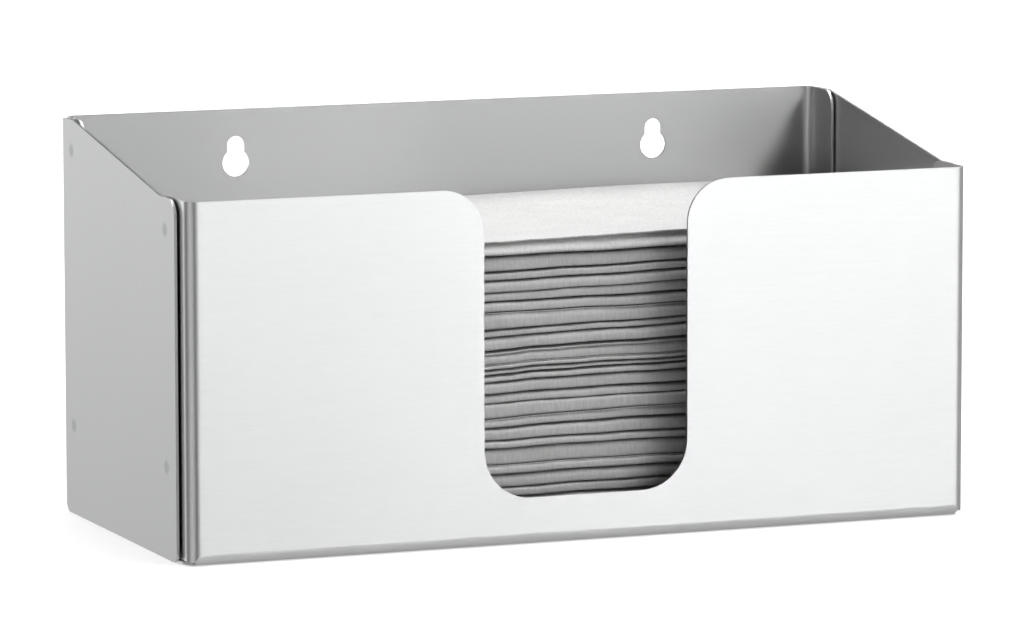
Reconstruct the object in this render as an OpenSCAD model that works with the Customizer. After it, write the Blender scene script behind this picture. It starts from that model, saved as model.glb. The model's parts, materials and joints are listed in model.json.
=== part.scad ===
// Open wall box for folded paper towels. One sheet of brushed steel is folded into back, bottom
// and front, two side panels are spot-welded outside its flanges, and a stack of towels lies inside.
// Lengths are in millimetres. The origin is the middle of the footprint, on the surface that the
// box rests on, with +Z up and the front facing -Y.

/* [Box] */
// Width over the two side panels
box_w = 290; // [250:1:340]
// Depth from the front face to the wall
box_d = 132.5; // [126:0.5:160]
// Height of the back panel
back_h = 139.5; // [130:0.5:165]
// Height of the front panel
front_h = 123; // [108:0.5:128]
// Thickness of the steel sheet
sheet_t = 1; // [0.8:0.1:1.5]
// Inside radius of every fold
fold_r = 3; // [1.5:0.5:4]

/* [Flanges] */
// Depth of the flanges folded off the back panel, measured from the wall
rear_flange_l = 20.5; // [16:0.5:30]
// Depth of the flanges folded off the front panel, measured from the front face
front_flange_l = 27; // [24:0.5:36]
// Round on the top corner of each flange
flange_corner_r = 6; // [2:0.5:8]
// Height of the flanges' lower ends above the underside
flange_lift = 1.6; // [1.6:0.1:2.4]
// How far the bottom folds reach past the flat of the front and back panels
fold_tab_w = 1; // [0.5:0.1:2]
// Slant on the end of each bottom fold
fold_tab_slant = 0.6; // [0.2:0.1:1]
// Length of the slant cut off each corner of the bottom panel
corner_cut_l = 4; // [2:0.5:10]

/* [Side panels] */
// Gap between a side panel and the flanges inside it
side_gap = 0.6; // [0.3:0.1:1]
// Distance of a side panel's front edge behind the front face
side_setback = 9.3; // [7:0.1:12]
// Distance of a side panel's rear edge from the wall
side_wall_gap = 3; // [1:0.5:5]
// Length of the level stretch at the rear of the top edge
rear_ledge_l = 11.2; // [6:0.2:16]
// Length of the level stretch at the front of the top edge
front_ledge_l = 14.7; // [8:0.1:20]
// How far the side panels stay below the top edges of the folded sheet
side_drop = 0.2; // [0.1:0.1:1]
// Round on the front top corner
side_top_r = 6; // [3:0.5:8]
// Round on the bottom corners
side_foot_r = 4; // [2:0.5:8]
// Round on the rear top corner
side_rear_r = 1; // [0.5:0.5:3]

/* [Spot welds] */
// Diameter of the mark that the electrode leaves outside
weld_d = 4.5; // [3:0.5:6]
// Depth of that mark
weld_sink = 0.05; // [0.05:0.05:0.3]
// Diameter of the joined spot between the sheets
weld_core_d = 3.5; // [2:0.5:5]
// Distance of the welds from a side panel's front and rear edges
weld_inset = 9.5; // [6:0.5:10]
// Distance of the upper welds below the top edges
weld_drop = 11; // [8:0.5:20]
// Height of the lower welds
weld_low_z = 31.5; // [15:0.5:50]

/* [Front window] */
// Width of the cut-out in the front panel
window_w = 75; // [50:1:100]
// Height of its lower edge
window_sill_z = 16.4; // [10:0.2:40]
// Radius of its lower corners
window_foot_r = 17; // [5:0.5:24]
// Radius of the rounded lips where it opens at the top edge
window_lip_r = 15; // [4:0.5:20]

/* [Keyholes] */
// Distance between the two keyholes in the back panel
keyhole_pitch = 160.5; // [100:0.5:200]
// Distance of the round entries below the top edge of the back panel
keyhole_drop = 19.1; // [16:0.1:40]
// Diameter of the round entry
keyhole_d = 10; // [9.4:0.2:14]
// Width of the slot above it
keyhole_slot_w = 6.5; // [4:0.1:6.5]
// Height of the slot's upper end above the middle of the entry
keyhole_rise = 6.25; // [5:0.25:8]
// Small round between slot and entry
keyhole_blend_r = 0.5; // [0.2:0.1:0.5]

/* [Towels] */
// Height of the stack of towels
stack_h = 103.5; // [90:0.5:108]
// Width of a towel
towel_w = 250; // [200:1:255]
// Depth of a folded towel
towel_d = 120; // [90:1:122]
// Length of a towel laid flat
towel_flat_l = 330; // [280:5:350]
// Thickness of the paper
ply_t = 0.35; // [0.2:0.05:0.4]
// Slit between the layers where a towel is folded flat
ply_slit = 0.1; // [0.05:0.05:0.2]
// Air between one towel and the next, and under the lowest one
towel_air = 0.1; // [0.05:0.05:0.2]
// Gap between the stack and the back panel
stack_rear_gap = 1.5; // [1.2:0.1:4]
// How far single towels lie out of line
towel_scatter = 0.8; // [0:0.1:1]

/* [Hidden] */
$fn = 64;
// How far cutting shapes reach past what they cut
overrun = 2;
// How far the flats and folds of one sheet run into each other
overlap = 0.5;
steel_colour = [0.78, 0.79, 0.79];
paper_colour = [0.95, 0.95, 0.94];

fold_outer_r = fold_r + sheet_t;
wrap_half_w = box_w / 2 - sheet_t - side_gap;
flat_half_w = wrap_half_w - fold_outer_r;
tab_half_w = flat_half_w + fold_tab_w + fold_tab_slant;
front_y = -box_d / 2;
wall_y = box_d / 2;

side_front_h = front_h - side_drop;
side_rear_h = back_h - side_drop;
side_rear_y = box_d - side_wall_gap;

// Share of the stack's height that each towel takes, from the top towel down
towel_height_shares = [6.2, 4.9, 3.1, 3.8, 3.7, 4.0, 5.2, 2.6, 3.9, 2.0, 3.7, 1.8, 1.8, 2.4,
                       4.3, 2.9, 5.1, 3.5, 4.5, 3.0, 5.7, 3.3, 4.4, 2.7, 3.6, 4.2, 3.3, 3.9];
towel_count = len(towel_height_shares);
// Turns between one towel's place out of line and the next
scatter_turn = 137.5;

function sum_first(values, n) = n == 0 ? 0 : values[n - 1] + sum_first(values, n - 1);
function stack_share(n) =
    sum_first(towel_height_shares, n) / sum_first(towel_height_shares, towel_count);
// Lower face and thickness of towel number i, where 1 is the top one
function towel_z(i) = sheet_t + towel_air + stack_h * (1 - stack_share(i));
function towel_h(i) = stack_h * (stack_share(i) - stack_share(i - 1)) - towel_air;
function towel_name(i) = str("towel_", i < 10 ? "0" : "", i);

// An outline drawn in (y, z), made into a plate that reaches l along +X
module along_x(l) {
    rotate([90, 0, 90]) linear_extrude(l) children();
}

// What a round of radius r takes off a square corner at the origin, with the plate in +x, +y
module corner_waste(r) {
    difference() {
        translate([-overrun, -overrun]) square(r + overrun);
        translate([r, r]) circle(r);
    }
}

module at_both_sides() {
    for (side = [0, 1]) mirror([side, 0, 0]) children();
}

// Section of a fold whose outer faces lie on the two axes, with a short stretch of both flats
module fold_section() {
    difference() {
        square(fold_outer_r + overlap);
        translate([sheet_t, sheet_t]) difference() {
            square(fold_outer_r + overlap);
            corner_waste(fold_r);
        }
        corner_waste(fold_outer_r);
    }
}

// Plan of the vertical fold and the flange at the right edge of a panel whose outer face is y = 0
module flange_plan(flange_l) {
    translate([wrap_half_w, 0]) mirror([1, 0]) fold_section();
    translate([wrap_half_w - sheet_t, fold_outer_r]) square([sheet_t, flange_l - fold_outer_r]);
}

// Side view of the same flange: lower end lifted, bottom fold followed at the panel, top rounded
module flange_side(flange_l, panel_h) {
    difference() {
        translate([0, flange_lift]) square([flange_l, panel_h - flange_lift]);
        corner_waste(fold_outer_r);
        translate([flange_l, panel_h]) rotate(180) corner_waste(flange_corner_r);
    }
}

module flange(flange_l, panel_h) {
    intersection() {
        linear_extrude(panel_h) flange_plan(flange_l);
        translate([flat_half_w - overlap, 0, 0])
            along_x(fold_outer_r + overrun) flange_side(flange_l, panel_h);
    }
}

// Fold between the bottom and a panel, as long as the flat of the panel, with a slanted tab at each
// end below the flange
module bottom_fold() {
    fold_w = fold_outer_r + overlap;
    intersection() {
        translate([-tab_half_w, 0, 0]) along_x(2 * tab_half_w) fold_section();
        translate([0, fold_w, 0]) rotate([90, 0, 0]) linear_extrude(fold_w) polygon([
            [tab_half_w - fold_tab_slant, 0],
            [tab_half_w, flange_lift],
            [flat_half_w, flange_lift],
            [flat_half_w, fold_w],
            [-flat_half_w, fold_w],
            [-flat_half_w, flange_lift],
            [-tab_half_w, flange_lift],
            [fold_tab_slant - tab_half_w, 0]
        ]);
    }
}

// A panel with its bottom fold and two flanges, its outer face at y = 0 and its inside towards +Y
module folded_panel(panel_h, flange_l) {
    translate([-flat_half_w, 0, fold_outer_r])
        cube([2 * flat_half_w, sheet_t, panel_h - fold_outer_r]);
    bottom_fold();
    at_both_sides() flange(flange_l, panel_h);
}

// The bottom runs out to the side panels between the corners, which are cut at a slant
module bottom_panel() {
    rear_y = box_d - fold_outer_r;
    linear_extrude(sheet_t) polygon([
        [tab_half_w, fold_outer_r],
        [wrap_half_w, fold_outer_r + corner_cut_l],
        [wrap_half_w, rear_y - corner_cut_l],
        [tab_half_w, rear_y],
        [-tab_half_w, rear_y],
        [-wrap_half_w, rear_y - corner_cut_l],
        [-wrap_half_w, fold_outer_r + corner_cut_l],
        [-tab_half_w, fold_outer_r]
    ]);
}

// Cut-out of the front panel in (x, z): rounded at the foot, opening in two lips at the top edge
module window_outline() {
    half_w = window_w / 2;
    difference() {
        translate([-half_w, window_sill_z]) square([window_w, front_h + overrun - window_sill_z]);
        for (side = [0, 1]) mirror([side, 0])
            translate([-half_w, window_sill_z]) corner_waste(window_foot_r);
    }
    for (side = [0, 1]) mirror([side, 0]) difference() {
        translate([half_w, front_h - window_lip_r]) square([window_lip_r, window_lip_r + overrun]);
        translate([half_w + window_lip_r, front_h - window_lip_r]) circle(window_lip_r);
    }
}

// Round entry with a narrower slot above it, their meeting corners blended
module keyhole_outline() {
    slot_r = keyhole_slot_w / 2;
    entry_r = keyhole_d / 2;
    blend_x = slot_r + keyhole_blend_r;
    blend_z = sqrt(pow(entry_r + keyhole_blend_r, 2) - pow(blend_x, 2));
    circle(entry_r);
    translate([0, keyhole_rise]) circle(slot_r);
    translate([-slot_r, 0]) square([keyhole_slot_w, keyhole_rise]);
    difference() {
        polygon([[0, 0], [blend_x, blend_z], [-blend_x, blend_z]]);
        for (side = [-1, 1]) translate([side * blend_x, blend_z]) circle(keyhole_blend_r);
    }
}

module folded_wrap() {
    color(steel_colour) difference() {
        union() {
            translate([0, front_y, 0]) folded_panel(front_h, front_flange_l);
            translate([0, wall_y, 0]) mirror([0, 1, 0]) folded_panel(back_h, rear_flange_l);
            translate([0, front_y, 0]) bottom_panel();
        }
        translate([0, front_y + sheet_t + overrun, 0]) rotate([90, 0, 0])
            linear_extrude(sheet_t + 2 * overrun) window_outline();
        for (side = [-1, 1])
            translate([side * keyhole_pitch / 2, wall_y + overrun, back_h - keyhole_drop])
                rotate([90, 0, 0]) linear_extrude(sheet_t + 2 * overrun) keyhole_outline();
    }
}

// Outline of a side panel in (y, z), with y measured from the front face
module side_outline() {
    difference() {
        polygon([
            [side_setback, 0],
            [side_rear_y, 0],
            [side_rear_y, side_rear_h],
            [side_rear_y - rear_ledge_l, side_rear_h],
            [side_setback + front_ledge_l, side_front_h],
            [side_setback, side_front_h]
        ]);
        translate([side_setback, 0]) corner_waste(side_foot_r);
        translate([side_rear_y, 0]) rotate(90) corner_waste(side_foot_r);
        translate([side_rear_y, side_rear_h]) rotate(180) corner_waste(side_rear_r);
        translate([side_setback, side_front_h]) rotate(270) corner_waste(side_top_r);
    }
}

// Puts a spot weld's shape at its four places on a side panel, in (y, z) as above
module at_welds() {
    front_weld_y = side_setback + weld_inset;
    rear_weld_y = side_rear_y - weld_inset;
    for (place = [
        [front_weld_y, weld_low_z], [front_weld_y, front_h - weld_drop],
        [rear_weld_y, weld_low_z], [rear_weld_y, back_h - weld_drop]
    ]) translate(place) children();
}

// Right side panel: the sheet, the sunk marks outside and the joined spots that touch the flanges
module side_panel() {
    outer_x = box_w / 2;
    translate([0, front_y, 0]) {
        difference() {
            translate([outer_x - sheet_t, 0, 0]) along_x(sheet_t) side_outline();
            translate([outer_x - weld_sink, 0, 0]) along_x(weld_sink + overrun)
                at_welds() circle(d = weld_d);
        }
        translate([wrap_half_w, 0, 0]) along_x(side_gap) at_welds() circle(d = weld_core_d);
    }
}

module right_side_panel() {
    color(steel_colour) side_panel();
}

module left_side_panel() {
    color(steel_colour) mirror([1, 0, 0]) side_panel();
}

// Section of a folded towel in (y, z), h high: top layer, fold in front, middle layer falling to
// the front, fold at the back, and a shorter bottom layer
module towel_section(h) {
    loop_r = (h - ply_t - ply_slit) / 2;
    rear_loop_y = towel_d - loop_r;
    third_l = towel_flat_l - 2 * towel_d;
    // Front fold, between the top and the middle layer
    difference() {
        translate([loop_r, h - loop_r]) circle(loop_r);
        translate([loop_r, h - loop_r]) circle(loop_r - ply_t);
        translate([loop_r, 0]) square([loop_r + overrun, h + overrun]);
    }
    // Rear fold, between the middle and the bottom layer
    difference() {
        translate([rear_loop_y, loop_r]) circle(loop_r);
        translate([rear_loop_y, loop_r]) circle(loop_r - ply_t);
        translate([rear_loop_y - loop_r - overrun, 0]) square([loop_r + overrun, h + overrun]);
    }
    translate([loop_r, h - ply_t]) square([towel_d - loop_r, ply_t]);
    polygon([
        [loop_r, h - 2 * loop_r],
        [rear_loop_y, 2 * loop_r - ply_t],
        [rear_loop_y, 2 * loop_r],
        [loop_r, h - 2 * loop_r + ply_t]
    ]);
    translate([towel_d - third_l, 0]) square([third_l - loop_r, ply_t]);
}

module towel(i) {
    rear_y = wall_y - sheet_t - stack_rear_gap;
    slip_x = towel_scatter * sin(scatter_turn * i);
    slip_y = towel_scatter * cos(scatter_turn * i);
    color(paper_colour)
        translate([slip_x - towel_w / 2, rear_y - towel_d + slip_y, towel_z(i)])
            along_x(towel_w) towel_section(towel_h(i));
}

folded_wrap();
left_side_panel();
right_side_panel();
for (i = [1:towel_count]) {
    towel(i);
}
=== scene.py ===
"""Open wall box of folded brushed steel with a stack of folded paper towels, dressed over the frame."""
import json
import math
import random
from collections import namedtuple

import bpy
from mathutils import Matrix, Vector


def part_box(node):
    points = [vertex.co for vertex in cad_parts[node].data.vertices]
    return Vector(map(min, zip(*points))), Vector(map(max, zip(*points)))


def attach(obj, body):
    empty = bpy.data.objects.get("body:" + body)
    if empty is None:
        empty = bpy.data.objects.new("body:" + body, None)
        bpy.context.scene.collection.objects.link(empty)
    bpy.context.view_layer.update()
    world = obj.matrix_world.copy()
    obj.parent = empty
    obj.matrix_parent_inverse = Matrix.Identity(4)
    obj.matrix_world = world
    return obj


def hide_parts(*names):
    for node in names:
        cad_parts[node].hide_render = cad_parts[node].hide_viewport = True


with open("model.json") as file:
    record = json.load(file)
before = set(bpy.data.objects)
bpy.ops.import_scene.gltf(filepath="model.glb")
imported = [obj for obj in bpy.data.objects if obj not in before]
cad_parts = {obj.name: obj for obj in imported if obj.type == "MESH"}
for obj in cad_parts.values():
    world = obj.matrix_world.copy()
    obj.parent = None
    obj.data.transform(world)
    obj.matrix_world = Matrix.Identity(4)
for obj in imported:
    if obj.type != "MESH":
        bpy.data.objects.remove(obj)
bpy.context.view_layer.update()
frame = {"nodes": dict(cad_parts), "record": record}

# Millimetres to metres
MM = 0.001

# Camera: the photograph's angle on the box
CAMERA_YAW = math.radians(-21.74)
CAMERA_PITCH = math.radians(7.605)
CAMERA_ROLL = math.radians(-0.065)
CAMERA_DISTANCE = 2.237
CAMERA_TARGET = Vector((-0.007475, -0.01625, 0.07304))
CAMERA_LENS = 226.06
SENSOR_WIDTH = 36.0
CAMERA_CLIP = (0.1, 30.0)

# Studio: grey levels by azimuth, in degrees from the front with right positive.
# Cards, met by mirrored rays:
CARD_LEVELS = (
    (-180, 0.50), (-172, 1.40), (-158, 1.50), (-152, 0.48), (-124, 0.40), (-108, 0.34),
    (-95, 0.38), (-84, 2.10), (-70, 2.10), (-58, 0.75), (-46, 0.30), (-34, 0.24), (-20, 0.30),
    (-4, 0.90), (8, 0.92), (16, 0.78), (20, 0.68), (24, 1.83), (28, 0.67), (32, 0.70),
    (38, 1.15), (48, 1.10), (58, 0.72), (80, 0.50), (110, 0.70), (165, 0.80), (174, 0.45),
    (180, 0.50),
)
# Lamp, met by mirrored rays too, but only in a narrow band of heights:
LAMP_LEVELS = (
    (-180, 0.2), (-70, 0.2), (-55, 4.0), (-15, 4.0), (-5, 0.6), (10, 17.0), (19, 22.0),
    (25, 40.0), (40, 38.0), (80, 0.3), (180, 0.2),
)
# Soft light, met by matte surfaces outside the ceiling:
SOFT_LEVELS = (
    (-180, 0.05), (5, 0.06), (28, 0.45), (48, 2.75), (78, 3.30), (92, 0.20), (180, 0.05),
)
# Factors of the cards' and the lamp's levels, by the sine of the ray's rise
CARD_HEIGHTS = (
    (-1.0, 0.80), (-0.65, 0.66), (-0.45, 0.54), (-0.30, 0.54), (-0.20, 0.80), (-0.10, 1.05),
    (0.06, 1.40), (0.12, 0.22), (1.0, 0.18),
)
LAMP_HEIGHTS = ((-1.0, 0.0), (0.46, 0.0), (0.50, 1.0), (0.57, 1.0), (0.61, 0.0), (1.0, 0.0))
# Ceiling over matte surfaces: its level, the way (Y, Z) to its middle, and the cosines of the
# angles from that way at which it begins and is full
CEILING_LEVEL = 2.55
CEILING_WAY = (0.34, 0.94)
CEILING_SPAN = (0.72, 0.92)
# Floor: half its width, its colour for bounced light and for the camera, and its glow there
FLOOR_HALF = 6.0
FLOOR_BOUNCE = (0.30, 0.30, 0.30)
FLOOR_SEEN = (0.92, 0.92, 0.92)
FLOOR_GLOW = 0.42

# Colours of the brushed steel's dullest and brightest grain, and its roughness
STEEL_DULL = (0.655, 0.66, 0.66)
STEEL_BRIGHT = (0.70, 0.705, 0.705)
OUTSIDE_ROUGHNESS = (0.285, 0.315)
BLACK = (0.0, 0.0, 0.0)
# Painted shade: how much darker the outside is painted from the height of the front down to the bottom
PAINTED_BOTTOM_SHADE = 0.085
# Inner faces: their colours, darker than the outside's as painted shade, and the roughness of their finish
SHADED_WRAP_INSIDE = (0.355, 0.355, 0.355)
SHADED_SIDE_INSIDE = (0.57, 0.57, 0.57)
SHADED_FLANGE_INSIDE = (0.57, 0.57, 0.57)
WRAP_INSIDE_ROUGHNESS = 0.31
SIDE_INSIDE_ROUGHNESS = 0.22
# Distances from the middle between which the wrap's panels bend into its flanges
FLANGE_SPAN = (139.4 * MM, 142.0 * MM)
# Place that inner faces look towards, and the depth over which their painted shade and finish blend in
INSIDE_MIDDLE = (0.0, 0.0, 60 * MM)
INSIDE_BLEND = 1 * MM
# Grain: noise per metre along and across the grooves, its layer and its detail
Grain = namedtuple("Grain", "along across layer detail")
FINE_GRAIN = Grain(160.0, 2600.0, 0.0, 3.0)
COARSE_GRAIN = Grain(45.0, 1000.0, 3.7, 2.0)
STEEL_CLOUDS = {"scale": 14.0, "detail": 2.0}
# Share of the fine grain in the streaks, and of the streaks in the steel's tone
FINE_SHARE, STREAK_SHARE = 0.65, 0.8
# Part of the noise's range that is stretched over the whole range of a finish
NOISE_SPAN = (0.3, 0.7)
# How much the depth adds to the place along the grooves, so that they run on over the flanges
GRAIN_SLANT = 0.7
# Upward part of the normal between which a face of the wrap turns from upright to level
LEVEL_SPAN = (0.6, 0.8)
# Lean of the way across the grooves, which keeps it off the normal of every face
ACROSS_LEAN = 0.05
# Relief of the grain, and the share of it on the inner faces
GRAIN_STRENGTH, GRAIN_DEPTH = 0.012, 0.02 * MM
INSIDE_GRAIN_SHARE = 0.15
ANISOTROPY = 0.88
# Sheared edges: their colour, lighter than the steel as a painted highlight, their roughness, how far
# their normals lean forwards and, at a corner, up, and the distance from the middle beyond which they
# lie
CUT_HIGHLIGHT_COLOUR = (0.85, 0.85, 0.85)
CUT_ROUGHNESS = 0.70
CUT_FACING = 0.25
CUT_FROM = 141.2 * MM
# Heights of the box in front and at the rear
FRONT_TOP, REAR_TOP = 123 * MM, 139.5 * MM
# Marks of the spot welds: distances from the panel's front and rear, from the floor and from the
# tops, then radius, the share of it that is fully dark, colour and strength
WELD_INSET, WELD_LOW, WELD_DROP = 9.5 * MM, 31.5 * MM, 11 * MM
MARK_R = 3.0 * MM
MARK_CORE_SHARE = 0.4
MARK_COLOUR = (0.42, 0.43, 0.44)
MARK_STRENGTH = 0.70

# Paper: colours of its darkest and lightest tone and of its specks, and noise per metre
PAPER_DARK = (0.66, 0.66, 0.655)
PAPER_LIGHT = (0.84, 0.84, 0.835)
SPECK_COLOUR = (0.66, 0.66, 0.66)
SPECK_STRENGTH = 0.35
SPECK_SPAN = (0.62, 0.75)
FIBRE_SCALES = (1300.0, 500.0, 260.0)
FIBRES = {"detail": 3.0, "roughness": 0.6}
EMBOSSING = {"scale": 1100.0, "detail": 2.0}
PAPER_CLOUDS = {"scale": 60.0, "detail": 3.0}
SPECKS = {"scale": 1500.0, "detail": 1.0}
# Share of the fibres in the tone, beside clouds, and in the relief, beside embossing
FIBRE_TONE_SHARE, FIBRE_RELIEF_SHARE = 0.7, 0.6
RELIEF_STRENGTH, RELIEF_DEPTH = 0.5, 0.15 * MM
PAPER_ROUGHNESS = (0.85, 0.95)
PAPER_SPECULAR = 0.25

# Towels, numbered from the top one down
TOP_TOWEL = 1
PLY = 0.35 * MM
COLUMN_STEP = 2.0 * MM
# Steps of the half turns in front and rear
FRONT_STEPS, REAR_STEPS = 14, 8
# Angle from which an edge of the mesh stays sharp
SHARP_ANGLE = math.radians(50)
# Open slit under the front fold of each towel in millimetres, from the top one down, taken in turn
SLITS = (0.78, 0.72, 0.76, 0.38, 0.76, 0.84, 0.62, 0.72, 0.74, 0.76, 0.54, 0.66)
# How far the front fold bulges, as a share of the towel's height, and its limits
BULGE_SHARE = 0.50
BULGE_LIMITS = (1.0 * MM, 2.0 * MM)
# Roundness of the front folds, 2 for round and more for square: above, taken in turn, and below
UPPER_SQUARENESS = (2.3, 3.6, 2.0, 4.2, 2.1, 3.2, 2.6)
LOWER_SQUARENESS = 5.0
# Share of the towels' places out of line that their front folds keep, and the depth that is moved
FRONT_SPREAD_SHARE = 0.4
FRONT_REACH = 14 * MM
# Front of the top towel, from its lip down to where it turns under, as shares of bulge and height
TOP_FRONT_SHARES = (
    (0.85, 1.000), (0.72, 0.985), (0.72, 0.955), (1.30, 0.940), (2.30, 0.935), (2.60, 0.905),
    (2.45, 0.850), (2.15, 0.770), (1.80, 0.690), (1.40, 0.610), (1.00, 0.530), (0.60, 0.450),
    (0.20, 0.370), (-0.12, 0.290), (-0.34, 0.210), (-0.38, 0.130), (-0.15, 0.050), (1.00, 0.000),
)
TOP_BULGE = 1.7 * MM
# How much higher the top of the top towel lies at its rear, where its folds are loose
REAR_PUFF = 1.2 * MM
# How far the middle of the rear fold's ply lies below that of the upper layer
REAR_DROP = 0.1 * MM
# Points along the upper and lower layers, and the lower one's end, as shares of the depth
UPPER_SHARES = (0.985, 0.85, 0.7, 0.55, 0.4, 0.25, 0.12)
LOWER_SHARES = (0.75, 0.5, 0.3)
LOWER_END_SHARE = 0.25
# Towels whose lower layer ends in the slit below the fold, where it shows as a second line, and how
# far that end lies behind the front
LOOSE_EDGES = (6, 10, 11, 17, 21, 26)
LOOSE_EDGE_Y = 0.9 * MM
# Rise of each towel's top at the left and right ends of the window, in millimetres
TOP_RISES = {
    1: (-1.0, 0.3), 2: (-0.7, 0.0), 3: (-1.2, 0.5), 4: (-1.1, 0.4), 5: (-1.2, 0.5),
    6: (-0.7, 0.1), 7: (-0.4, 0.0), 8: (-1.2, 0.5), 9: (-1.2, 0.5), 10: (-2.0, -0.5),
    11: (-0.9, 0.3), 12: (-0.6, 0.1), 13: (-0.7, 0.2), 14: (-0.9, 0.4), 15: (-0.8, 0.3),
    16: (-0.6, 0.2), 17: (-0.6, 0.3), 18: (-1.2, 0.7), 19: (-0.8, 0.2), 25: (-1.1, -1.4),
}
# The same for towels that aren't in that list
LOW_RISE = (-0.4, -0.1)
RISE_SPAN = (-34 * MM, 41 * MM)
# How far the slope goes on beyond that span, as a share of it
RISE_BEYOND_SHARE = 0.3
# Height over which rises and waves grow from the floor of the stack, and fade below its top
SETTLE_HEIGHT, TOP_FADE = 12 * MM, 4 * MM
# Slow waves through the whole stack: their height, and the lengths along X and Z of one radian
SLOW_WAVES = ((0.16 * MM, 14 * MM, 30 * MM), (0.10 * MM, 5.3 * MM, 11 * MM))
# Step along X that makes the crease: its height, where it starts, its run, and its middle and
# reach in Z
CREASE_RISE = 0.55 * MM
CREASE_START, CREASE_RUN = -24 * MM, 9 * MM
CREASE_MIDDLE, CREASE_REACH = 64 * MM, 9 * MM
# Waves of one towel's front fold, up and backwards: their height and the length of one radian
UP_WAVES = ((0.05 * MM, 1.1 * MM), (0.06 * MM, 2.7 * MM))
BACK_WAVES = ((0.22 * MM, 19 * MM), (0.10 * MM, 4.1 * MM))
SEED = 100

Stack = namedtuple("Stack", "floor top front")


def clamp(value, low, high):
    return max(low, min(high, value))


def smooth_step(t):
    t = clamp(t, 0.0, 1.0)
    return t * t * (3 - 2 * t)


def in_turn(values, index):
    return values[index % len(values)]


class Nodes:
    """Short calls for building a node tree."""

    def __init__(self, tree):
        self.tree = tree
        self.tree.nodes.clear()

    def add(self, kind, inputs=None, **settings):
        node = self.tree.nodes.new(kind)
        for name, value in settings.items():
            setattr(node, name, value)
        for name, value in (inputs or {}).items():
            self.feed(node.inputs[name], value)
        return node

    def feed(self, socket, value):
        if isinstance(value, bpy.types.NodeSocket):
            self.tree.links.new(value, socket)
        else:
            socket.default_value = value

    def calculate(self, kind, operation, values, out=0):
        node = self.add(kind, operation=operation)
        for index, value in enumerate(values):
            self.feed(node.inputs[index], value)
        return node.outputs[out]

    def math(self, operation, *values):
        return self.calculate("ShaderNodeMath", operation, values)

    def vector(self, operation, *values, out=0):
        return self.calculate("ShaderNodeVectorMath", operation, values, out)

    def weigh(self, *parts):
        """Sum of two parts, given as (value, weight) pairs."""
        return self.math("ADD", *(self.math("MULTIPLY", *part) for part in parts))

    def combine(self, x, y, z):
        return self.add("ShaderNodeCombineXYZ", {"X": x, "Y": y, "Z": z}).outputs[0]

    def split(self, vector):
        return self.add("ShaderNodeSeparateXYZ", {"Vector": vector}).outputs

    def place(self):
        return self.add("ShaderNodeTexCoord").outputs["Object"]

    def mix(self, factor, low, high):
        """Between two numbers."""
        node = self.add("ShaderNodeMix", data_type="FLOAT")
        for index, value in ((0, factor), (2, low), (3, high)):
            self.feed(node.inputs[index], value)
        return node.outputs[0]

    def mix_colour(self, factor, low, high):
        """Between two colours, each a socket or three numbers."""
        node = self.add("ShaderNodeMix", data_type="RGBA")
        self.feed(node.inputs[0], factor)
        for index, colour in ((6, low), (7, high)):
            self.feed(node.inputs[index], (*colour, 1) if isinstance(colour, tuple) else colour)
        return node.outputs[2]

    def spread(self, value, low, high, new_low=0.0, new_high=1.0):
        """Maps low..high to new_low..new_high, clamped."""
        node = self.add("ShaderNodeMapRange")
        for index, given in enumerate((value, low, high, new_low, new_high)):
            self.feed(node.inputs[index], given)
        return node.outputs[0]

    def noise(self, vector, scale=1.0, detail=2.0, roughness=0.5):
        return self.add("ShaderNodeTexNoise", {
            "Vector": vector, "Scale": scale, "Detail": detail, "Roughness": roughness,
        }).outputs["Fac"]

    def ramp(self, factor, stops, span):
        """Grey level by factor (0 to 1), from (place, level) stops over a span with 0 in its middle."""
        node = self.add("ShaderNodeValToRGB", {"Fac": factor})
        elements = node.color_ramp.elements
        while len(elements) < len(stops):
            elements.new(0.5)
        for element, (place, level) in zip(elements, stops):
            element.position = place / span + 0.5
            element.color = (level, level, level, 1)
        return node.outputs["Color"]

    def relief(self, shader, height, strength, depth):
        bump = self.add("ShaderNodeBump", {"Strength": strength, "Distance": depth, "Height": height})
        self.feed(shader.inputs["Normal"], bump.outputs[0])

    def surface(self, shader, kind="ShaderNodeOutputMaterial"):
        self.feed(self.add(kind).inputs["Surface"], shader.outputs[0])


def blank_material(name):
    material = bpy.data.materials.new(name)
    material.use_nodes = True
    return material, Nodes(material.node_tree)


def new_material(name):
    material, nodes = blank_material(name)
    shader = nodes.add("ShaderNodeBsdfPrincipled")
    nodes.surface(shader)
    return material, nodes, shader


def add_object(name, data):
    thing = bpy.data.objects.new(name, data)
    bpy.context.scene.collection.objects.link(thing)
    return thing


# Steel


def facing_in(nodes, position, normal):
    """1 on faces that look into the box, 0 on its outside."""
    from_middle = nodes.vector("SUBTRACT", position, INSIDE_MIDDLE)
    outward = nodes.vector("DOT_PRODUCT", normal, from_middle, out=1)
    return nodes.spread(outward, 0.0, -INSIDE_BLEND)


def cut_edges(nodes, x, lean, corners_only):
    """1 on sheared edges that look forwards, or only on their rounded top corners, 0 elsewhere."""
    outer = nodes.math("GREATER_THAN", nodes.math("ABSOLUTE", x), CUT_FROM)
    cut = nodes.math("MULTIPLY", outer, nodes.math("LESS_THAN", lean[1], -CUT_FACING))
    if corners_only:
        cut = nodes.math("MULTIPLY", cut, nodes.math("GREATER_THAN", lean[2], CUT_FACING))
    return cut


def groove_lines(nodes, groove_axis, place, lean):
    """Places along and across the grooves, and the way across them, in which highlights spread."""
    if groove_axis == "Z":
        return place[2], place[1], nodes.combine(ACROSS_LEAN, 1.0, 0.0)
    along = nodes.math("ADD", place[0], nodes.math("MULTIPLY", place[1], GRAIN_SLANT))
    level_face = nodes.spread(nodes.math("ABSOLUTE", lean[2]), *LEVEL_SPAN)
    return along, nodes.mix(level_face, place[2], place[1]), nodes.combine(0.0, ACROSS_LEAN, 1.0)


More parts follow.
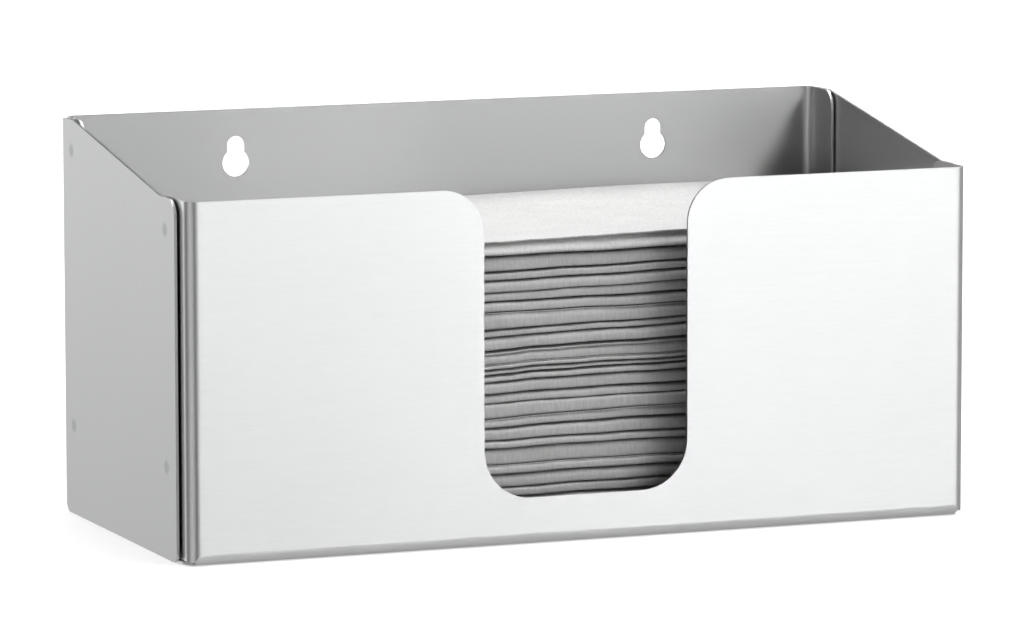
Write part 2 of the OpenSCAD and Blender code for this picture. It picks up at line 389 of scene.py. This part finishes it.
def grain_noise(nodes, along, across, grain):
    stretched = nodes.combine(nodes.math("MULTIPLY", along, grain.along),
                              nodes.math("MULTIPLY", across, grain.across), grain.layer)
    return nodes.noise(stretched, detail=grain.detail)


def spots(nodes, place, marks):
    """1 in the middle of each mark, fading to 0 at its edge."""
    total = 0.0
    for y, z in marks:
        away_y = nodes.math("SUBTRACT", place[1], y)
        away_z = nodes.math("SUBTRACT", place[2], z)
        squares = nodes.math("ADD", nodes.math("MULTIPLY", away_y, away_y),
                             nodes.math("MULTIPLY", away_z, away_z))
        near = nodes.spread(nodes.math("SQRT", squares), MARK_R, MARK_CORE_SHARE * MARK_R)
        total = nodes.math("MAXIMUM", near, total)
    return total


def outside_colour(nodes, place, tone, marks):
    """Colour of the brushed faces by tone, with painted shade darker towards the bottom, and darker at the
    marks.
    """
    colour = nodes.mix_colour(tone, STEEL_DULL, STEEL_BRIGHT)
    # Painted shade: the colour darkens towards the bottom in place of the darker reflections near the
    # floor
    shade = nodes.spread(place[2], 0.0, FRONT_TOP, PAINTED_BOTTOM_SHADE, 0.0)
    colour = nodes.mix_colour(shade, colour, BLACK)
    if marks:
        spot = nodes.math("MULTIPLY", spots(nodes, place, marks), MARK_STRENGTH)
        colour = nodes.mix_colour(spot, colour, MARK_COLOUR)
    return colour


def brushed_steel(name, groove_axis, inside_shade_colour, inside_roughness, marks=()):
    """Steel brushed along groove_axis (X or Z), with faint darker spots at marks, given as (y, z), painted
    shade on its inner faces and painted highlights on its sheared edges.
    """
    material, nodes, shader = new_material(name)
    position = nodes.place()
    normal = nodes.add("ShaderNodeNewGeometry").outputs["Normal"]
    place, lean = nodes.split(position), nodes.split(normal)
    along, across, spread_way = groove_lines(nodes, groove_axis, place, lean)
    streak = nodes.weigh((grain_noise(nodes, along, across, FINE_GRAIN), FINE_SHARE),
                         (grain_noise(nodes, along, across, COARSE_GRAIN), 1 - FINE_SHARE))
    cloud = nodes.noise(position, **STEEL_CLOUDS)
    tone = nodes.spread(nodes.weigh((streak, STREAK_SHARE), (cloud, 1 - STREAK_SHARE)), *NOISE_SPAN)
    inside = facing_in(nodes, position, normal)
    flange = nodes.spread(nodes.math("ABSOLUTE", place[0]), *FLANGE_SPAN)
    cut = cut_edges(nodes, place[0], lean, groove_axis == "Z")

    # Painted shade: inner faces, the flanges' among them, take darker colours than the outside
    inner = nodes.mix_colour(flange, inside_shade_colour, SHADED_FLANGE_INSIDE)
    colour = nodes.mix_colour(inside, outside_colour(nodes, place, tone, marks), inner)
    # Painted highlight: sheared edges, and on the side panels only their top corners, take a lighter
    # colour as glints
    nodes.feed(shader.inputs["Base Color"], nodes.mix_colour(cut, colour, CUT_HIGHLIGHT_COLOUR))
    outside_roughness = nodes.spread(streak, *NOISE_SPAN, *OUTSIDE_ROUGHNESS)
    roughness = nodes.mix(inside, outside_roughness, inside_roughness)
    nodes.feed(shader.inputs["Roughness"], nodes.mix(cut, roughness, CUT_ROUGHNESS))
    depth = nodes.math("MULTIPLY", streak, nodes.mix(inside, 1.0, INSIDE_GRAIN_SHARE))
    nodes.relief(shader, depth, GRAIN_STRENGTH, GRAIN_DEPTH)
    nodes.feed(shader.inputs["Tangent"], spread_way)
    shader.inputs["Metallic"].default_value = 1.0
    shader.inputs["Anisotropic"].default_value = ANISOTROPY
    return material


def weld_marks():
    """Places (y, z) of the four sunk weld marks on a side panel."""
    low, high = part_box("left_side_panel")
    front_y, rear_y = low.y + WELD_INSET, high.y - WELD_INSET
    return ((front_y, WELD_LOW), (front_y, FRONT_TOP - WELD_DROP),
            (rear_y, WELD_LOW), (rear_y, REAR_TOP - WELD_DROP))


def dress(node, material):
    mesh_object = frame["nodes"][node]
    mesh_object.data.materials.clear()
    mesh_object.data.materials.append(material)


def dress_box():
    dress("folded_wrap", brushed_steel("steel_brushed_level", "X", SHADED_WRAP_INSIDE, WRAP_INSIDE_ROUGHNESS))
    side = brushed_steel("steel_brushed_upright", "Z", SHADED_SIDE_INSIDE, SIDE_INSIDE_ROUGHNESS, weld_marks())
    dress("left_side_panel", side)
    dress("right_side_panel", side)


# Towels


def towel_paper(name):
    material, nodes, shader = new_material(name)
    place = nodes.place()
    stretched = (nodes.math("MULTIPLY", value, scale)
                 for value, scale in zip(nodes.split(place), FIBRE_SCALES))
    fibres = nodes.noise(nodes.combine(*stretched), **FIBRES)
    emboss = nodes.noise(place, **EMBOSSING)
    cloud = nodes.noise(place, **PAPER_CLOUDS)
    tone = nodes.weigh((fibres, FIBRE_TONE_SHARE), (cloud, 1 - FIBRE_TONE_SHARE))
    colour = nodes.mix_colour(nodes.spread(tone, *NOISE_SPAN), PAPER_DARK, PAPER_LIGHT)
    specks = nodes.spread(nodes.noise(place, **SPECKS), *SPECK_SPAN)
    colour = nodes.mix_colour(nodes.math("MULTIPLY", specks, SPECK_STRENGTH), colour, SPECK_COLOUR)
    nodes.feed(shader.inputs["Base Color"], colour)
    height = nodes.weigh((fibres, FIBRE_RELIEF_SHARE), (emboss, 1 - FIBRE_RELIEF_SHARE))
    nodes.relief(shader, height, RELIEF_STRENGTH, RELIEF_DEPTH)
    nodes.feed(shader.inputs["Roughness"], nodes.spread(emboss, *NOISE_SPAN, *PAPER_ROUGHNESS))
    shader.inputs["Specular IOR Level"].default_value = PAPER_SPECULAR
    return material


def half_turn(steps):
    """Cosines and sines from straight up to straight down."""
    angles = [math.pi * (0.5 - step / steps) for step in range(steps + 1)]
    return [(math.cos(angle), math.sin(angle)) for angle in angles]


def front_fold(number, height, z_top, z_low):
    """Centreline of a front fold from its upper to its lower end, as (y, z), foremost at y = 0."""
    if number == TOP_TOWEL:
        shares = [(y, z_low + (z_top - z_low) * z) for y, z in TOP_FRONT_SHARES]
        return [(TOP_BULGE, z_top)] + [(TOP_BULGE * y, z) for y, z in shares]
    bulge = clamp(BULGE_SHARE * height, *BULGE_LIMITS)
    middle, half = (z_top + z_low) / 2, (z_top - z_low) / 2
    points = []
    for forward, up in half_turn(FRONT_STEPS):
        squareness = in_turn(UPPER_SQUARENESS, number) if up > 0 else LOWER_SQUARENESS
        y = bulge * (1 - abs(forward) ** (2 / squareness))
        z = middle + half * math.copysign(abs(up) ** (2 / squareness), up)
        points.append((y, z))
    return points


def towel_centreline(number, height, depth_y):
    """Section of a folded towel through the middle of its ply, as (y, z), from its top at the rear."""
    slit = in_turn(SLITS, number - 1) * MM
    puff = REAR_PUFF if number == TOP_TOWEL else 0.0
    z_top, z_bottom = height - PLY / 2, PLY / 2
    upper = [(depth_y * share, z_top + puff * smooth_step(share)) for share in UPPER_SHARES]
    front = front_fold(number, height, z_top, z_bottom + slit)
    radius = (z_top + puff - REAR_DROP - z_bottom) / 2
    rear_y = depth_y - PLY / 2 - radius
    rear = [(rear_y + radius * back, z_bottom + radius * (1 + up)) for back, up in half_turn(REAR_STEPS)]
    end_y = LOOSE_EDGE_Y if number in LOOSE_EDGES else depth_y * LOWER_END_SHARE
    lower = [(depth_y * share, z_bottom) for share in LOWER_SHARES]
    return upper + front + rear + lower + [(end_y, z_bottom)]


def offset_line(points, distance):
    """The line beside points, at distance to its left."""
    moved = []
    for index, point in enumerate(points):
        before = points[max(index - 1, 0)]
        after = points[min(index + 1, len(points) - 1)]
        direction = Vector((after[0] - before[0], after[1] - before[1])).normalized()
        moved.append((point[0] - direction.y * distance, point[1] + direction.x * distance))
    return moved


def rise_at(number, x):
    """How far the top of towel number lies above its straight place at x."""
    left, right = TOP_RISES.get(number, LOW_RISE)
    share = (x - RISE_SPAN[0]) / (RISE_SPAN[1] - RISE_SPAN[0])
    share = clamp(share, -RISE_BEYOND_SHARE, 1 + RISE_BEYOND_SHARE)
    return (left + (right - left) * share) * MM


def ripple(x, z):
    """Slow waves that run through the whole stack, and the crease at its left."""
    wave = sum(height * math.sin(x / run + z / rise) for height, run, rise in SLOW_WAVES)
    fall = math.exp(-((z - CREASE_MIDDLE) / CREASE_REACH) ** 2)
    return wave + CREASE_RISE * smooth_step((x - CREASE_START) / CREASE_RUN) * fall


def sum_waves(x, waves, phases):
    return sum(height * math.sin(x / run + phase) for (height, run), phase in zip(waves, phases))


def sheet_mesh(name, section, xs, shape):
    """Closed strip: a section of two lines swept along xs, with each point put in place by shape."""
    one_side, other_side = section
    count = len(one_side)
    vertices, faces = [], []
    for x in xs:
        for y, z in one_side + other_side:
            vertices.append(shape(x, y, z))
    ring = 2 * count
    for column in range(len(xs) - 1):
        a, b = column * ring, (column + 1) * ring
        for j in range(count - 1):
            faces.append((a + j, a + j + 1, b + j + 1, b + j))
            faces.append((a + count + j + 1, a + count + j, b + count + j, b + count + j + 1))
        faces.append((a + count, a, b, b + count))
        faces.append((a + count - 1, a + ring - 1, b + ring - 1, b + count - 1))
    last = (len(xs) - 1) * ring
    for j in range(count - 1):
        faces.append((j + 1, j, count + j, count + j + 1))
        faces.append((last + j, last + j + 1, last + count + j + 1, last + count + j))
    mesh = bpy.data.meshes.new(name)
    mesh.from_pydata(vertices, [], faces)
    mesh.update()
    mesh.shade_smooth()
    mesh.set_sharp_from_angle(angle=SHARP_ANGLE)
    return mesh


def towel_shape(number, stack, low, height):
    """Function that puts a point of a towel's section, swept to x, into its place in the stack."""
    dice = random.Random(SEED + number)
    phases = [dice.uniform(0, 2 * math.pi) for _ in UP_WAVES + BACK_WAVES]

    def shape(x, y, z):
        share = z / height
        lift = (1 - share) * rise_at(number + 1, x) + share * rise_at(number, x)
        place_z = low.z + z
        settle = smooth_step((place_z - stack.floor) / SETTLE_HEIGHT)
        fade = smooth_step((stack.top - place_z) / TOP_FADE) if number == TOP_TOWEL else 1.0
        front = smooth_step(1 - y / FRONT_REACH)
        front_y = low.y + (stack.front - low.y) * (1 - FRONT_SPREAD_SHARE) * front
        back = sum_waves(x, BACK_WAVES, phases[len(UP_WAVES):]) * front
        up = sum_waves(x, UP_WAVES, phases) * front * share
        return (x, front_y + y + back, place_z + settle * (lift + ripple(x, place_z) * fade) + up)

    return shape


def make_towel(number, stack, paper, body):
    node = f"towel_{number:02d}"
    low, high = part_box(node)
    height = high.z - low.z
    line = towel_centreline(number, height, high.y - low.y)
    section = (offset_line(line, -PLY / 2), offset_line(line, PLY / 2))
    steps = round((high.x - low.x) / COLUMN_STEP)
    xs = [low.x + (high.x - low.x) * i / steps for i in range(steps + 1)]
    mesh = sheet_mesh(f"paper_{node}", section, xs, towel_shape(number, stack, low, height))
    mesh.materials.append(paper)
    towel = add_object(f"paper_{node}", mesh)
    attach(towel, body)
    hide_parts(node)


def make_towels():
    paper = towel_paper("towel_paper")
    all_bodies = frame["record"]["behaviour"]["bodies"]
    bodies = {body: all_bodies[body] for body in ("top_towel", "towel_stack")}
    boxes = [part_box(node) for nodes in bodies.values() for node in nodes]
    fronts = [low.y for low, high in boxes]
    stack = Stack(min(low.z for low, high in boxes), max(high.z for low, high in boxes),
                  sum(fronts) / len(fronts))
    for body, nodes in bodies.items():
        for node in nodes:
            make_towel(int(node.split("_")[1]), stack, paper, body)


# Studio


def make_world():
    world = bpy.data.worlds.new("studio")
    bpy.context.scene.world = world
    world.use_nodes = True
    nodes = Nodes(world.node_tree)
    direction = nodes.split(nodes.add("ShaderNodeTexCoord").outputs["Generated"])
    azimuth = nodes.math("ARCTAN2", direction[0], nodes.math("MULTIPLY", direction[1], -1.0))
    turn = nodes.math("ADD", nodes.math("MULTIPLY", azimuth, 1 / (2 * math.pi)), 0.5)
    rise = nodes.math("ADD", nodes.math("MULTIPLY", direction[2], 0.5), 0.5)
    cards, lamp, soft = (nodes.ramp(turn, levels, 360)
                         for levels in (CARD_LEVELS, LAMP_LEVELS, SOFT_LEVELS))
    card_height, lamp_height = (nodes.ramp(rise, heights, 2) for heights in (CARD_HEIGHTS, LAMP_HEIGHTS))
    mirrored = nodes.weigh((cards, card_height), (lamp, lamp_height))
    nearness = nodes.weigh((direction[1], CEILING_WAY[0]), (direction[2], CEILING_WAY[1]))
    matte = nodes.mix(nodes.spread(nearness, *CEILING_SPAN), soft, CEILING_LEVEL)
    path = nodes.add("ShaderNodeLightPath").outputs
    seen = nodes.math("MAXIMUM", path["Is Camera Ray"], path["Is Transmission Ray"])
    level = nodes.mix(seen, nodes.mix(path["Is Glossy Ray"], matte, mirrored), 1.0)
    background = nodes.add("ShaderNodeBackground", {"Color": nodes.combine(level, level, level)})
    nodes.surface(background, "ShaderNodeOutputWorld")


def floor_white():
    """White to the camera, grey to bounced light and clear to mirrored rays."""
    material, nodes = blank_material("floor_white")
    path = nodes.add("ShaderNodeLightPath").outputs
    seen = path["Is Camera Ray"]
    matte = nodes.add("ShaderNodeBsdfDiffuse", {"Color": nodes.mix_colour(seen, FLOOR_BOUNCE, FLOOR_SEEN)})
    glow = nodes.add("ShaderNodeEmission", {
        "Color": (1, 1, 1, 1), "Strength": nodes.math("MULTIPLY", seen, FLOOR_GLOW)})
    lit = nodes.add("ShaderNodeAddShader")
    nodes.feed(lit.inputs[0], matte.outputs[0])
    nodes.feed(lit.inputs[1], glow.outputs[0])
    clear = nodes.add("ShaderNodeBsdfTransparent")
    through = nodes.math("MAXIMUM", path["Is Glossy Ray"], path["Is Transmission Ray"])
    pick = nodes.add("ShaderNodeMixShader", {"Fac": through})
    nodes.feed(pick.inputs[1], lit.outputs[0])
    nodes.feed(pick.inputs[2], clear.outputs[0])
    nodes.surface(pick)
    return material


def make_floor():
    mesh = bpy.data.meshes.new("floor")
    corners = [(x * FLOOR_HALF, y * FLOOR_HALF, 0) for x, y in ((-1, -1), (1, -1), (1, 1), (-1, 1))]
    mesh.from_pydata(corners, [], [(0, 1, 2, 3)])
    mesh.materials.append(floor_white())
    floor = add_object("floor", mesh)


def make_camera():
    yaw, pitch, roll = CAMERA_YAW, CAMERA_PITCH, CAMERA_ROLL
    back = Vector((math.sin(yaw) * math.cos(pitch), -math.cos(yaw) * math.cos(pitch), math.sin(pitch)))
    level = Vector((math.cos(yaw), math.sin(yaw), 0))
    upright = back.cross(level)
    right = level * math.cos(roll) + upright * math.sin(roll)
    up = upright * math.cos(roll) - level * math.sin(roll)
    data = bpy.data.cameras.new("camera")
    data.lens = CAMERA_LENS
    data.sensor_width = SENSOR_WIDTH
    data.clip_start, data.clip_end = CAMERA_CLIP
    camera = add_object("camera", data)
    turn = Matrix((right, up, back)).transposed().to_4x4()
    camera.matrix_world = Matrix.Translation(CAMERA_TARGET + back * CAMERA_DISTANCE) @ turn
    bpy.context.scene.camera = camera


make_camera()
bpy.context.scene.view_settings.view_transform = "Standard"
make_world()
make_floor()
dress_box()
make_towels()
